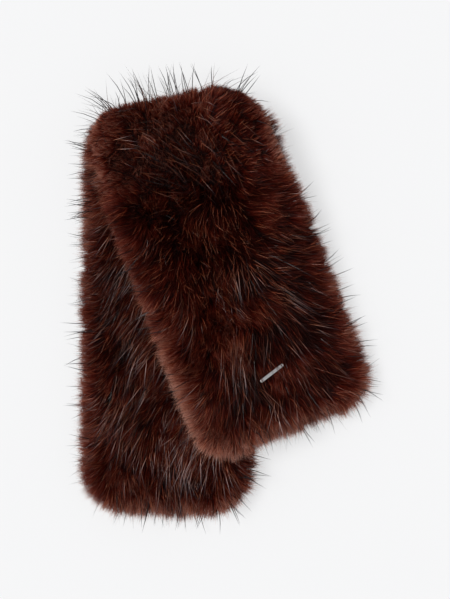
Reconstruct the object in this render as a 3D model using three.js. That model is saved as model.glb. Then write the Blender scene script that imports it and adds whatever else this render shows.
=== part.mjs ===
// A long-pile fur scarf with fur on both faces, folded in half askew and laid flat on a table.
// Two fur panels are sewn back to back round their rims, and a slim metal bar is sewn near the upper end.
// Millimetres, +Z up, +Y towards the fold. The origin is on the table, at the middle of the scarf's outline.
// Each panel is its backing cloth with its whole pile, so its outer face is where the tips of the fur lie.
import * as THREE from "three";

// The scarf, flat, measured over the fur
const LOWER_LENGTH = 425; // from the middle of the fold to the end of the lower half
const UPPER_LENGTH = 361; // and to the end of the upper half
const LOWER_WIDTH = 189;
const UPPER_WIDTH = 203;
const LOWER_CORNER = 52; // radius of the rounded corners
const UPPER_CORNER = 38;
const SEAM_GAP = 0.3; // between the two backings
const RIM = 0.8; // thickness that a panel keeps at its rim

// How deep the pile stands off the backing
const RESTING_PILE = 15; // under the lower half, pressed flat on the table
const INNER_PILE = 16.4; // between the two halves
const FREE_PILE = 20; // on top of the lower half, where nothing lies on it
const UPPER_PILE = 20; // on top of the upper half
const FOLD_PILE = 29; // round the fold, where the bend opens the fur
const ROUNDING = 32; // how far in from the rim the pile reaches its full depth
const RESTING_ROUNDING = 24;

// The fold
const FOLD_RADIUS = 17.2; // of the backing where it turns over
const FOLD_TILT = THREE.MathUtils.degToRad(10.3); // slope of the fold line across the scarf
const SKEW = THREE.MathUtils.degToRad(10.9); // each half's angle to a square fold
const HALF_TURN = Math.PI * FOLD_RADIUS;

// The upper half sinks to the table past the lower half's right-hand edge
const SINK = 34;
const SINK_FROM = -34; // measured outwards from that edge
const SINK_TO = 92;
const SINK_LENGTH = 150; // how far from the fold the sinking takes to build up

// Tufts: soft lobes in the fur, each carved a little below the tips
const TUFT_LENGTH = 34;
const TUFT_WIDTH = 27;
const TUFT_DEPTH = 3.4;
const TUFT_SWEEP = 0.5; // how far a tuft trails towards the end as it runs out to the rim
const TUFT_ROUNDING = 12; // how far in from the rim the carving reaches its full depth
const LOBE_DEPTH = 4; // the same lobes at the rim

// Dips that show in the fur of the upper half: its middle parts, and the pile is pressed round the bar
const DIPS = [
  // along: distance from the fold; across: distance from the middle, to the right
  { along: 84, across: 20, length: 60, width: 34, depth: 3.0 },
  { along: 218, across: 22, length: 34, width: 22, depth: 5.0 },
  { along: 172, across: -30, length: 70, width: 30, depth: 2.2 },
  { along: 238, across: 66, length: 30, width: 22, depth: 3.0 },
];
const DIP_ROUNDING = 40; // how far in from the rim a dip reaches its full depth

// The metal bar, sewn on through a hole at each end
const BAR_ALONG = 289; // its middle, from the fold
const BAR_ACROSS = -4;
const BAR_TURN = THREE.MathUtils.degToRad(35); // from the table's X axis
const BAR_LENGTH = 31;
const BAR_WIDTH = 3.4;
const BAR_THICKNESS = 1.2;
const BAR_EDGE = 0.35; // softened edge
const BAR_HOLE = 0.6; // radius of a sewing hole
const BAR_HOLE_INSET = 2.2; // from the tip of the bar to the hole's middle
const BAR_SUNK = 2.2; // how far the bar lies below the tips round it
const BAR_BED = 19; // radius of the flat bed pressed into the fur
const BAR_BED_BLEND = 22;

// How finely the panels are divided
const COLUMNS = 24; // across the fur
const CROWDING = 0.65; // how much closer the columns lie towards the rim
const SEAM_COLUMNS = 6; // across the backing, which is flatter
const SEAM_STEP = COLUMNS / SEAM_COLUMNS;
const STATION_SPACING = 9.2;
const FOLD_SPACING = 4.6;
const FOLD_REACH = 50; // the close stations on each side of the fold
const END_STATIONS = [0, 1.6, 4.6, 9, 15, 22]; // distances in from an end

const smooth = (x, low, high) => THREE.MathUtils.smoothstep(x, low, high);
const mix = THREE.MathUtils.lerp;

// Half the scarf's width beside the rounded corners
function straightHalfWidth(along) {
  return mix(LOWER_WIDTH, UPPER_WIDTH, smooth(along, -60, 60)) / 2;
}

function fromEnd(along) {
  return along < 0 ? along + LOWER_LENGTH : UPPER_LENGTH - along;
}

const cornerRadius = (along) => (along < 0 ? LOWER_CORNER : UPPER_CORNER);

// Half the width at any distance along, corners included
function halfWidth(along) {
  const radius = cornerRadius(along);
  const into = Math.max(0, radius - fromEnd(along));
  return straightHalfWidth(along) - radius + Math.sqrt(radius * radius - into * into);
}

// How far a point of the flat scarf lies inside its outline
function fromRim(along, across) {
  const radius = cornerRadius(along);
  const side = straightHalfWidth(along) - Math.abs(across);
  const end = fromEnd(along);
  if (side < radius && end < radius) {
    return radius - Math.hypot(radius - side, radius - end);
  }
  return Math.min(side, end);
}

// The plan is measured from where the backing starts to lift at the fold: up to the fold line, and along it
function plan(up, right) {
  return new THREE.Vector2(
    right * Math.cos(FOLD_TILT) - up * Math.sin(FOLD_TILT),
    right * Math.sin(FOLD_TILT) + up * Math.cos(FOLD_TILT),
  );
}

// The flat position that the lower or upper half would have under or over a place in the plan
function halfAt(up, right, half) {
  const turned = half * (HALF_TURN / 2 - up);
  return {
    along: turned * Math.cos(SKEW) + right * Math.sin(SKEW),
    across: -turned * Math.sin(SKEW) + right * Math.cos(SKEW),
  };
}

const LOWER = -1;
const UPPER = 1;

// Where the backing lies: its place in the plan, its angle round the fold and its point in space
function place(along, across) {
  const wound = HALF_TURN / 2 + along * Math.cos(SKEW) - across * Math.sin(SKEW);
  const right = along * Math.sin(SKEW) + across * Math.cos(SKEW);
  const angle = THREE.MathUtils.clamp(wound / FOLD_RADIUS, 0, Math.PI);
  const past = Math.max(0, wound - HALF_TURN);
  const up = FOLD_RADIUS * Math.sin(angle) + Math.min(0, wound) - past;
  const outside = halfAt(up, right, LOWER).across - LOWER_WIDTH / 2;
  const sunk = SINK * smooth(outside, SINK_FROM, SINK_TO) * smooth(past, 0, SINK_LENGTH);
  const height = RESTING_PILE + FOLD_RADIUS * (1 - Math.cos(angle)) - sunk;
  const { x, y } = plan(up, right);
  return { up, right, angle, point: new THREE.Vector3(x, y, height) };
}

// The backing's outward direction, towards the outer panel's fur
function outward(along, across) {
  const step = 0.5;
  const ahead = place(along + step, across).point.sub(place(along - step, across).point);
  const aside = place(along, across + step).point.sub(place(along, across - step).point);
  return ahead.cross(aside).normalize();
}

// 1 in the hollows between tufts and 0 on their crests
function hollow(along, across) {
  const toEnd = Math.abs(along) + TUFT_SWEEP * Math.abs(across);
  const row = toEnd / TUFT_LENGTH;
  const column = across / TUFT_WIDTH + 0.5 * Math.sin(2.1 * row) + 0.3 * Math.sin(0.7 * row + 1);
  const crest = Math.cos(Math.PI * (row + 0.35 * Math.sin(2.6 * column)));
  return 1 - crest * crest * (0.55 + 0.45 * Math.cos(Math.PI * column) ** 2);
}

// Quarter-ellipse rise from the rim
function rise(inside, rounding) {
  const out = 1 - THREE.MathUtils.clamp(inside / rounding, 0, 1);
  return Math.sqrt(1 - out * out);
}

function dips(along, across) {
  return DIPS.reduce((sum, dip) => {
    const x = (along - dip.along) / dip.length;
    const y = (across - dip.across) / dip.width;
    return sum + dip.depth * Math.exp(-x * x - y * y);
  }, 0);
}

// Depth of the outer panel's pile: pressed under the lower half, open round the fold and tufted on top
function outerPile(along, across) {
  const { angle } = place(along, across);
  const turned = angle / Math.PI;
  const inside = fromRim(along, across);
  const onTop = smooth(turned, 0.55, 1);
  const open = smooth(turned, 0.02, 0.3) * (1 - smooth(turned, 0.7, 1));
  const full = mix(mix(RESTING_PILE, UPPER_PILE, onTop), FOLD_PILE, open);
  const rounding = mix(RESTING_ROUNDING, ROUNDING, smooth(turned, 0, 0.4));
  const carved = smooth(turned, 0.15, 0.5) * TUFT_DEPTH * hollow(along, across);
  const deep = full * rise(inside, rounding);
  const dipped = onTop * dips(along, across) * rise(inside, DIP_ROUNDING);
  return deep - carved * rise(inside, TUFT_ROUNDING) - dipped;
}

// Depth of the inner panel's pile: even between the halves, and free and tufted where the lower half shows
function innerPile(along, across) {
  const { up, right, angle } = place(along, across);
  const inside = fromRim(along, across);
  const over = halfAt(up, right, UPPER);
  const free = angle > 0 ? 0 : smooth(-fromRim(over.along, over.across), 2, 26);
  const carved = free * TUFT_DEPTH * hollow(along, across) * rise(inside, TUFT_ROUNDING);
  return mix(INNER_PILE, FREE_PILE, free) * rise(inside, ROUNDING) - carved;
}

// Distances along the scarf at which its cross-sections are taken
function stations() {
  const list = END_STATIONS.map((inset) => inset - LOWER_LENGTH);
  const span = (from, to, spacing) => {
    const count = Math.round((to - from) / spacing);
    for (let i = 1; i <= count; i += 1) {
      list.push(mix(from, to, i / count));
    }
  };
  span(list.at(-1), -FOLD_REACH, STATION_SPACING);
  span(-FOLD_REACH, FOLD_REACH, FOLD_SPACING);
  span(FOLD_REACH, UPPER_LENGTH - END_STATIONS.at(-1), STATION_SPACING);
  const last = END_STATIONS.slice(0, -1).reverse();
  return list.concat(last.map((inset) => UPPER_LENGTH - inset));
}

// The rim's lobes draw each point in a little, at the sides and at the ends
function gridPoint(station, column) {
  const share = (2 * column) / COLUMNS - 1;
  const spread = mix(share, Math.sin((share * Math.PI) / 2), CROWDING);
  const half = halfWidth(station);
  const nearEnd = 1 - smooth(fromEnd(station), 0, 34);
  const sideLobe = LOBE_DEPTH * hollow(station, half * Math.sign(share)) * Math.abs(spread) ** 3;
  const endLobe = LOBE_DEPTH * hollow(LOWER_LENGTH, spread * half) * nearEnd;
  return {
    along: station - Math.sign(station) * endLobe,
    across: spread * half - Math.sign(share) * sideLobe * (1 - nearEnd),
  };
}

// The flat bed for the bar: the fur near it is brought down to one plane
const bed = (() => {
  const out = outward(BAR_ALONG, BAR_ACROSS);
  const depth = outerPile(BAR_ALONG, BAR_ACROSS) - BAR_SUNK;
  const middle = place(BAR_ALONG, BAR_ACROSS).point.addScaledVector(out, depth);
  return { middle, plane: new THREE.Plane().setFromNormalAndCoplanarPoint(out, middle) };
})();

function pressBed(point) {
  const near = point.distanceTo(bed.middle);
  const pressed = bed.plane.projectPoint(point, new THREE.Vector3());
  return point.lerp(pressed, 1 - smooth(near, BAR_BED, BAR_BED + BAR_BED_BLEND));
}

// One panel: a grid of tips, a coarser grid for its backing and the strips that join them round the rim.
// side is 1 for the outer panel and -1 for the inner one.
function panelGeometry(side) {
  const pile = side > 0 ? outerPile : innerPile;
  const tips = [];
  const backing = [];
  for (const station of stations()) {
    for (let column = 0; column <= COLUMNS; column += 1) {
      const { along, across } = gridPoint(station, column);
      const out = outward(along, across).multiplyScalar(side);
      const seam = place(along, across).point.addScaledVector(out, SEAM_GAP / 2);
      const onRim = column === 0 || column === COLUMNS || fromEnd(station) === 0;
      const depth = onRim ? RIM : Math.max(RIM, pile(along, across));
      const tip = seam.clone().addScaledVector(out, depth);
      if (side > 0 && along > 0) {
        pressBed(tip);
      }
      tip.z = Math.max(0, tip.z);
      tips.push(tip);
      if (column % SEAM_STEP === 0) {
        backing.push(seam);
      }
    }
  }
  const points = tips.concat(backing);
  const rows = tips.length / (COLUMNS + 1);
  const tip = (row, column) => row * (COLUMNS + 1) + column;
  const seam = (row, k) => tips.length + row * (SEAM_COLUMNS + 1) + k;
  const faces = [];
  const quad = (a, b, c, d) => faces.push(a, b, c, a, c, d);
  for (let row = 0; row < rows - 1; row += 1) {
    for (let column = 0; column < COLUMNS; column += 1) {
      quad(tip(row, column), tip(row + 1, column), tip(row + 1, column + 1), tip(row, column + 1));
    }
    for (let k = 0; k < SEAM_COLUMNS; k += 1) {
      quad(seam(row, k), seam(row, k + 1), seam(row + 1, k + 1), seam(row + 1, k));
    }
    quad(tip(row, 0), seam(row, 0), seam(row + 1, 0), tip(row + 1, 0));
    quad(tip(row + 1, COLUMNS), seam(row + 1, SEAM_COLUMNS), seam(row, SEAM_COLUMNS), tip(row, COLUMNS));
  }
  for (const [row, first] of [[0, true], [rows - 1, false]]) {
    const face = (a, b, c) => (first ? faces.push(a, b, c) : faces.push(a, c, b));
    for (let k = 0; k < SEAM_COLUMNS; k += 1) {
      for (let column = k * SEAM_STEP; column < (k + 1) * SEAM_STEP; column += 1) {
        face(seam(row, k), tip(row, column), tip(row, column + 1));
      }
      face(seam(row, k), tip(row, (k + 1) * SEAM_STEP), seam(row, k + 1));
    }
  }
  const geometry = new THREE.BufferGeometry();
  geometry.setFromPoints(points);
  geometry.setIndex(side > 0 ? faces : faces.reverse());
  geometry.computeVertexNormals();
  return geometry;
}

// The bar is a stadium with two sewing holes, its edges softened by the bevel
function barGeometry() {
  const radius = BAR_WIDTH / 2 - BAR_EDGE;
  const reach = BAR_LENGTH / 2 - BAR_EDGE - radius;
  const outline = new THREE.Shape();
  outline.absarc(reach, 0, radius, -Math.PI / 2, Math.PI / 2);
  outline.absarc(-reach, 0, radius, Math.PI / 2, (3 * Math.PI) / 2);
  for (const end of [-1, 1]) {
    const hole = new THREE.Path();
    hole.absarc(end * (BAR_LENGTH / 2 - BAR_HOLE_INSET), 0, BAR_HOLE + BAR_EDGE, 0, 2 * Math.PI, true);
    outline.holes.push(hole);
  }
  return new THREE.ExtrudeGeometry(outline, {
    depth: BAR_THICKNESS - 2 * BAR_EDGE,
    bevelThickness: BAR_EDGE,
    bevelSize: BAR_EDGE,
    bevelSegments: 2,
    curveSegments: 8,
  }).translate(0, 0, BAR_EDGE);
}

const fur = { roughness: 0.85, metalness: 0 };
const outerPanel = new THREE.Mesh(
  panelGeometry(1),
  new THREE.MeshStandardMaterial({ color: 0x3a1811, ...fur }),
);
outerPanel.name = "outer_panel";

const innerPanel = new THREE.Mesh(
  panelGeometry(-1),
  new THREE.MeshStandardMaterial({ color: 0x40201a, ...fur }),
);
innerPanel.name = "inner_panel";

const bar = new THREE.Mesh(
  barGeometry(),
  new THREE.MeshStandardMaterial({ color: 0xd6d2cc, roughness: 0.22, metalness: 1 }),
);
bar.name = "metal_bar";
bar.quaternion.setFromUnitVectors(new THREE.Vector3(0, 0, 1), bed.plane.normal);
bar.rotateZ(BAR_TURN);
bar.position.copy(bed.middle).addScaledVector(bed.plane.normal, SEAM_GAP);

// The whole scarf is moved so that the origin is under the middle of its outline
const scarf = new THREE.Group();
scarf.add(outerPanel, innerPanel, bar);
const reach = new THREE.Box3().setFromObject(scarf, true);
const middle = reach.getCenter(new THREE.Vector3());
scarf.position.set(-middle.x, -middle.y, 0);

const part = new THREE.Group();
part.add(scarf);
export default part;
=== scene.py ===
"""A straight fur scarf, furred on both faces, folded in half askew and laid flat, seen from above.

The object's own sizes are in millimetres, in the flat scarf's two directions: along it, below 0 on
the lower half and above 0 on the upper half, with the fold between them, and across it, to the
right. Blender gets metres.
"""

import math

import bmesh
import bpy
import numpy as np
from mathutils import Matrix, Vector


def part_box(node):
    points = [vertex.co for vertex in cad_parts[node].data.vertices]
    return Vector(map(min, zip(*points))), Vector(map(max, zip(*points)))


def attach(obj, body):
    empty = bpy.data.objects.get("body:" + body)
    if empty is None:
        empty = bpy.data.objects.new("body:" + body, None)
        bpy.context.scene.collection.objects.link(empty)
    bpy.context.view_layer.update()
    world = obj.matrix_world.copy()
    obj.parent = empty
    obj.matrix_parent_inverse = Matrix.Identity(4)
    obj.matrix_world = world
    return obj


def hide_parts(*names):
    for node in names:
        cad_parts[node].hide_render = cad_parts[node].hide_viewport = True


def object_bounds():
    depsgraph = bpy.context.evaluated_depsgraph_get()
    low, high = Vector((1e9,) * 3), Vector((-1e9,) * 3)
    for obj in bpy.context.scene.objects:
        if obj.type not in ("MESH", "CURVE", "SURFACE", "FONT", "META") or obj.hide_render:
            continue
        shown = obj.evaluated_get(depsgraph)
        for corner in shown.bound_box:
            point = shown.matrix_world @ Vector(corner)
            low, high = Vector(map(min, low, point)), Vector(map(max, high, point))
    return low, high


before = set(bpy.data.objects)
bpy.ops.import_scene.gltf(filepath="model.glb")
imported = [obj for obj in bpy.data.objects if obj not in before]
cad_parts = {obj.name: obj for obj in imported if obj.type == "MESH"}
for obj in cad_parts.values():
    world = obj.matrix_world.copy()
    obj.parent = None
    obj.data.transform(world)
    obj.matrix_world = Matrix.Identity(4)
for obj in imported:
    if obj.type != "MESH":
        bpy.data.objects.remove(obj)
cad_low, cad_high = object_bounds()

# The table, the light and the camera
# A white acrylic light table that glows a little, so that shadows stay pale, with even light all
# round and a soft key light from the upper left. The camera looks straight down.
MM = 0.001
CAMERA_HEIGHT = 2200
VIEW_CENTRE = (0.5, 2.6)
FUR_LEVEL = 35  # the height at which one pixel of the picture spans PIXEL
PIXEL = 1.05
PICTURE_HEIGHT = 599  # pixels
SENSOR = 36
TABLE_COLOUR, TABLE_GLOW = "#9c9c9c", 0.575
TABLE_SIZE = 9000
SKY_COLOUR, SKY_STRENGTH = "#f6f8ff", 0.4
KEY_STRENGTH = 2.4
KEY_SPREAD, KEY_TURN = 30, (-5, -26, 0)  # degrees


def linear(colour, alpha=1.0):
    """An sRGB hex colour as the linear values that Blender takes."""
    channels = [int(colour[i : i + 2], 16) / 255 for i in (1, 3, 5)]
    return (*[c / 12.92 if c <= 0.04045 else ((c + 0.055) / 1.055) ** 2.4 for c in channels], alpha)


def add(tree, kind, feeds=(), **settings):
    """Adds one node with its settings. feeds gives its inputs, as values or as sockets to link."""
    node = tree.nodes.new(kind)
    for name, value in settings.items():
        setattr(node, name, value)
    for key, value in dict(feeds).items():
        if isinstance(value, bpy.types.NodeSocket):
            tree.links.new(value, node.inputs[key])
        else:
            node.inputs[key].default_value = value
    return node


def new_material(name):
    """A material with no nodes yet, and its node tree."""
    material = bpy.data.materials.new(name)
    material.use_nodes = True
    material.node_tree.nodes.clear()
    return material, material.node_tree


def surface(tree, feeds):
    """Gives the material one principled shader with these inputs."""
    shader = add(tree, "ShaderNodeBsdfPrincipled", feeds)
    add(tree, "ShaderNodeOutputMaterial", {"Surface": shader.outputs["BSDF"]})


def put(mesh, name, material=None):
    """Places a mesh in the scene as an object at the origin."""
    piece = bpy.data.objects.new(name, mesh)
    bpy.context.scene.collection.objects.link(piece)
    if material:
        mesh.materials.append(material)
    return piece


# White acrylic, sanded matt: it shows no reflection, only its own faint glow
acrylic, tree = new_material("white_acrylic_sanded")
glow = {"Emission Color": linear("#ffffff"), "Emission Strength": TABLE_GLOW}
matt = {"Roughness": 0.95, "Specular IOR Level": 0.1}
surface(tree, {"Base Color": linear(TABLE_COLOUR), **matt, **glow})
side = TABLE_SIZE / 2 * MM
table = bpy.data.meshes.new("light_table")
corners = [(-side, -side, 0), (side, -side, 0), (side, side, 0), (-side, side, 0)]
table.from_pydata(corners, [], [(0, 1, 2, 3)])
put(table, "light_table", acrylic)

scene = bpy.context.scene
scene.view_settings.view_transform = "Standard"
world = bpy.data.worlds.new("studio")
world.use_nodes = True
sky = world.node_tree.nodes["Background"]
sky.inputs["Color"].default_value = linear(SKY_COLOUR)
sky.inputs["Strength"].default_value = SKY_STRENGTH
scene.world = world

key = bpy.data.objects.new("key_light", bpy.data.lights.new("key_light", "SUN"))
key.data.energy = KEY_STRENGTH
key.data.angle = math.radians(KEY_SPREAD)
key.rotation_euler = [math.radians(turn) for turn in KEY_TURN]
scene.collection.objects.link(key)

camera = bpy.data.objects.new("camera", bpy.data.cameras.new("camera"))
camera.location = (VIEW_CENTRE[0] * MM, VIEW_CENTRE[1] * MM, CAMERA_HEIGHT * MM)
camera.data.sensor_width = SENSOR
camera.data.lens = (CAMERA_HEIGHT - FUR_LEVEL) / PIXEL * SENSOR / PICTURE_HEIGHT
scene.collection.objects.link(camera)
scene.camera = camera


# The outer panel's fur fabric
# The fabric that shows on top of the upper half, goes round the fold and rests on the table: a
# knitted backing with its dense modacrylic underfur, sewn to the inner panel round its edge. It is
# one sheet, as thick as the underfur.
LOWER_LENGTH, UPPER_LENGTH = 425, 361  # from the middle of the fold to each end, over the fur
LOWER_WIDTH, UPPER_WIDTH = 189, 203
LOWER_CORNER, UPPER_CORNER = 52, 38
EDGE_FUR = 13.6  # how far the fur stands out past the fabric's sewn edge
SEAM_GAP = 0.3
EDGE_THICKNESS = 0.8  # of the fabric at its sewn edge
# How far the tips stand off the backing: on the table, on top of the upper half and round the fold
RESTING_PILE, UPPER_PILE, FOLD_PILE = 15, 20, 30.5
# How far in from the rim the pile rises, also on the table, and how much further round the fold
ROUNDING, RESTING_ROUNDING, FOLD_ROUNDING = 32, 24, 16
FOLD_RADIUS = 17.2
FOLD_TILT = math.radians(10.3)
SKEW = math.radians(10.9)
HALF_TURN = math.pi * FOLD_RADIUS
# How far the upper half sinks where it hangs over the lower half's edge, and over what distances
SINK, SINK_FROM, SINK_TO, SINK_LENGTH = 34, -34, 92, 150
TUFT_LENGTH, TUFT_WIDTH, TUFT_DEPTH, TUFT_SWEEP = 34, 27, 3.4, 0.5
LOBE_DEPTH = 0.7  # how far the rim's lobes draw in
FOLD_CORNER = 9  # the rim's round corners where it goes round the fold, seen from above
BAR_ALONG, BAR_ACROSS = 289, -4
BAR_SUNK = 2.2  # how far the bar lies below the tips round it
BAR_THICKNESS = 1.2
BAR_BED, BAR_BED_BLEND = 19, 22  # how far round the bar the fur is pressed, and blends
BED_DEPTH = 5  # from the bar's middle down to the dense fur under it
HAIR = 17  # the length of the underfur's free tips, past the dense part
HAIR_RISE = 0.85  # how much of that length an upright tip stands off the dense part
PRESSED = 0.4  # how far the tips reach past the dense part where the table presses them
THINNEST = 2  # the dense part where the hair stands upright
PLUSH_SHORTER = 0.5  # how much shorter the free tips are round the fold
OFF_TABLE = 0.2  # the fur's least height above the table
CROWN = 0.14  # where the fur is combed out from, left of the middle, to half the width
FLATTEST = 0.93
STEP_ALONG, COLUMNS = 4.4, 42  # of the fabric's grid
# along: from the fold; across: from the middle, to the right; depth: of a dip where the fur parts
PARTINGS = [
    {"along": 84, "across": 20, "length": 60, "width": 34, "depth": 3.0},
    {"along": 172, "across": -30, "length": 70, "width": 30, "depth": 2.2},
    {"along": 258, "across": 22, "length": 22, "width": 30, "depth": 6.0},
    {"along": 317, "across": 46, "length": 15, "width": 20, "depth": 3.0},
]


def smooth(x, low, high):
    """0 up to low and 1 from high on, with a soft step between."""
    t = np.clip((x - low) / (high - low), 0, 1)
    return t * t * (3 - 2 * t)


def mix(a, b, t):
    """What lies the share t of the way from a to b."""
    return a + (b - a) * t


def straight_half_width(along):
    """Half the flat scarf's width, before the fold's corners draw it in."""
    return mix(LOWER_WIDTH, UPPER_WIDTH, smooth(along, -60, 60)) / 2


def corner_and_end(along):
    """The corners' radius, and the distance from the end, on the half that along is on."""
    return (
        np.where(along < 0, LOWER_CORNER, UPPER_CORNER),
        np.where(along < 0, along + LOWER_LENGTH, UPPER_LENGTH - along),
    )


def past_fold(along, across):
    """How far the flat scarf has gone past the middle of the fold."""
    return along * math.cos(SKEW) - across * math.sin(SKEW)


def drawn_in(along, across):
    """How far the rim draws in round the fold, which rounds the fold's corners seen from above."""
    turn = np.clip(past_fold(along, across) / FOLD_RADIUS, -math.pi / 2, math.pi / 2)
    short = np.clip(FOLD_CORNER - FOLD_RADIUS * (1 - np.cos(turn)), 0, FOLD_CORNER)
    return FOLD_CORNER - np.sqrt(FOLD_CORNER**2 - short**2)


def from_rim(along, across):
    """How far a point of the flat scarf lies inside its outline."""
    radius, end = corner_and_end(along)
    side = straight_half_width(along) - drawn_in(along, across) - np.abs(across)
    in_corner = (side < radius) & (end < radius)
    from_corner = radius - np.hypot(radius - side, radius - end)
    return np.where(in_corner, from_corner, np.minimum(side, end))


def half_at(up, right, half):
    """The flat position that the lower half (-1) or upper half (1) has at a plan position."""
    turned = half * (HALF_TURN / 2 - up)
    return (
        turned * math.cos(SKEW) + right * math.sin(SKEW),
        -turned * math.sin(SKEW) + right * math.cos(SKEW),
    )


def place(along, across):
    """Where the backing lies: its plan position, angle round the fold, and point before SHIFT."""
    wound = HALF_TURN / 2 + along * math.cos(SKEW) - across * math.sin(SKEW)
    right = along * math.sin(SKEW) + across * math.cos(SKEW)
    angle = np.clip(wound / FOLD_RADIUS, 0, math.pi)
    past = np.maximum(0, wound - HALF_TURN)
    up = FOLD_RADIUS * np.sin(angle) + np.minimum(0, wound) - past
    outside = half_at(up, right, -1)[1] - LOWER_WIDTH / 2
    sunk = SINK * smooth(outside, SINK_FROM, SINK_TO) * smooth(past, 0, SINK_LENGTH)
    x = right * math.cos(FOLD_TILT) - up * math.sin(FOLD_TILT)
    y = right * math.sin(FOLD_TILT) + up * math.cos(FOLD_TILT)
    z = RESTING_PILE + FOLD_RADIUS * (1 - np.cos(angle)) - sunk
    return up, right, angle, np.stack([x, y, z], -1)


def unit(v):
    """The same directions, each one long."""
    return v / np.maximum(np.linalg.norm(v, axis=-1, keepdims=True), 1e-9)


def directions(along, across):
    """The backing's unit directions: along it, across it, and outwards from the outer panel."""
    ahead = unit(place(along + 0.5, across)[3] - place(along - 0.5, across)[3])
    aside = unit(place(along, across + 0.5)[3] - place(along, across - 0.5)[3])
    return ahead, aside, unit(np.cross(ahead, aside))


def ripple(along, across, size, seed):
    """Soft random waves from -1 to 1, each about size across."""
    table = np.random.default_rng(seed).uniform(-1, 1, (64, 64))
    x, y = along / size + 32, across / size + 32
    i, j = np.floor(x).astype(int), np.floor(y).astype(int)
    u, v = smooth(x - i, 0, 1), smooth(y - j, 0, 1)
    near = mix(table[i % 64, j % 64], table[(i + 1) % 64, j % 64], u)
    far = mix(table[i % 64, (j + 1) % 64], table[(i + 1) % 64, (j + 1) % 64], u)
    return mix(near, far, v)


def towards_rim(along, across):
    """The flat direction from a point to the nearest part of the rim."""
    inwards = [
        from_rim(along + a, across + b) - from_rim(along - a, across - b)
        for a, b in ((1, 0), (0, 1))
    ]
    return np.moveaxis(unit(-np.stack(inwards, -1)), -1, 0)


def parted(along, across):
    """How deep the partings are, and the flat direction in which they turn the fur away."""
    depth, ahead, aside = 0 * along, 0 * along, 0 * along
    for dip in PARTINGS:
        x = (along - dip["along"]) / dip["length"]
        y = (across - dip["across"]) / dip["width"]
        here = dip["depth"] * np.exp(-x * x - y * y)
        depth, ahead, aside = depth + here, ahead + here * x, aside + here * y
    return depth, ahead, aside


def outer_combing(along, across):
    """The way the outer panel's fur lies, along and across. The vector's length says how flat."""
    share = across / straight_half_width(along)
    past = past_fold(along, across)
    _, apart_along, apart_across = parted(along, across)
    back = 0.1 * smooth(past, 2, 30) * (1 - smooth(past, 40, 110))
    flat_along = -back * math.cos(SKEW) + 0.72 * smooth(along, 70, 160)
    flat_along = flat_along + 0.15 * smooth(along, 215, 330)
    off_crown = share + CROWN
    flat_across = np.sign(off_crown) * smooth(np.abs(off_crown), 0.05, 0.85) * 0.9
    flat_across = flat_across + back * math.sin(SKEW)
    return (
        flat_along + 0.10 * apart_along + 0.45 * ripple(along, across, 36, 1),
        flat_across + 0.10 * apart_across + 0.45 * ripple(along, across, 36, 2),
    )


def plush(along, across):
    """1 round the fold, where the fur is short and dense, and 0 elsewhere."""
    past = past_fold(along, across)
    return smooth(past, -24, -4) * (1 - smooth(past, 56, 100))


def lie_of_fur(along, across, combing):
    """The combing, turned out towards the rim near it, and never quite flat."""
    flat_along, flat_across = combing(along, across)
    out_along, out_across = towards_rim(along, across)
    edge = 0.6 * (1 - smooth(from_rim(along, across) - EDGE_FUR, 2, 28))
    flat_along, flat_across = mix(flat_along, out_along, edge), mix(flat_across, out_across, edge)
    long = np.hypot(flat_along, flat_across)
    held = np.minimum(long, FLATTEST) / np.maximum(long, 1e-6)
    return flat_along * held, flat_across * held


def upright(along, across, combing):
    """How much of a hair's length stands up off the fabric."""
    return np.sqrt(1 - np.hypot(*lie_of_fur(along, across, combing)) ** 2)


def hollow(along, across):
    """1 in the hollows between the fur's large tufts and 0 on their crests."""
    row = (np.abs(along) + TUFT_SWEEP * np.abs(across)) / TUFT_LENGTH
    column = across / TUFT_WIDTH + 0.5 * np.sin(2.1 * row) + 0.3 * np.sin(0.7 * row + 1)
    crest = np.cos(math.pi * (row + 0.35 * np.sin(2.6 * column)))
    return 1 - crest**2 * (0.55 + 0.45 * np.cos(math.pi * column) ** 2)


def tufts(along, across):
    """Relief of the dense underfur: the large tufts, and smaller ones on them."""
    small = 1.3 * ripple(along, across, 14, 5) + 1.0 * ripple(along, across, 6, 6)
    return small - TUFT_DEPTH * hollow(along, across)


def rise(inside, rounding):
    """A quarter round, from 0 at the rim to 1 from rounding inwards."""
    out = 1 - np.clip(inside / rounding, 0, 1)
    return np.sqrt(1 - out * out)


def outer_depth(along, across):
    """How deep the outer panel's dense underfur stands off the backing."""
    turned = place(along, across)[2] / math.pi
    on_top = smooth(turned, 0.55, 1)
    opened = smooth(turned, 0.02, 0.3) * (1 - smooth(turned, 0.7, 1))
    full = mix(mix(RESTING_PILE, UPPER_PILE, on_top), FOLD_PILE, opened)
    free = smooth(turned, 0.0, 0.3)
    tips = HAIR_RISE * HAIR * upright(along, across, outer_combing)
    tips = tips * (1 - PLUSH_SHORTER * plush(along, across))
    sunk = on_top * parted(along, across)[0]
    full = full - mix(PRESSED, tips, free) - sunk + free * tufts(along, across)
    rounding = mix(RESTING_ROUNDING, ROUNDING, smooth(turned, 0, 0.4)) - EDGE_FUR
    rounding = rounding + FOLD_ROUNDING * opened
    return np.maximum(full, THINNEST) * rise(from_rim(along, across) - EDGE_FUR, rounding)


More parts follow.
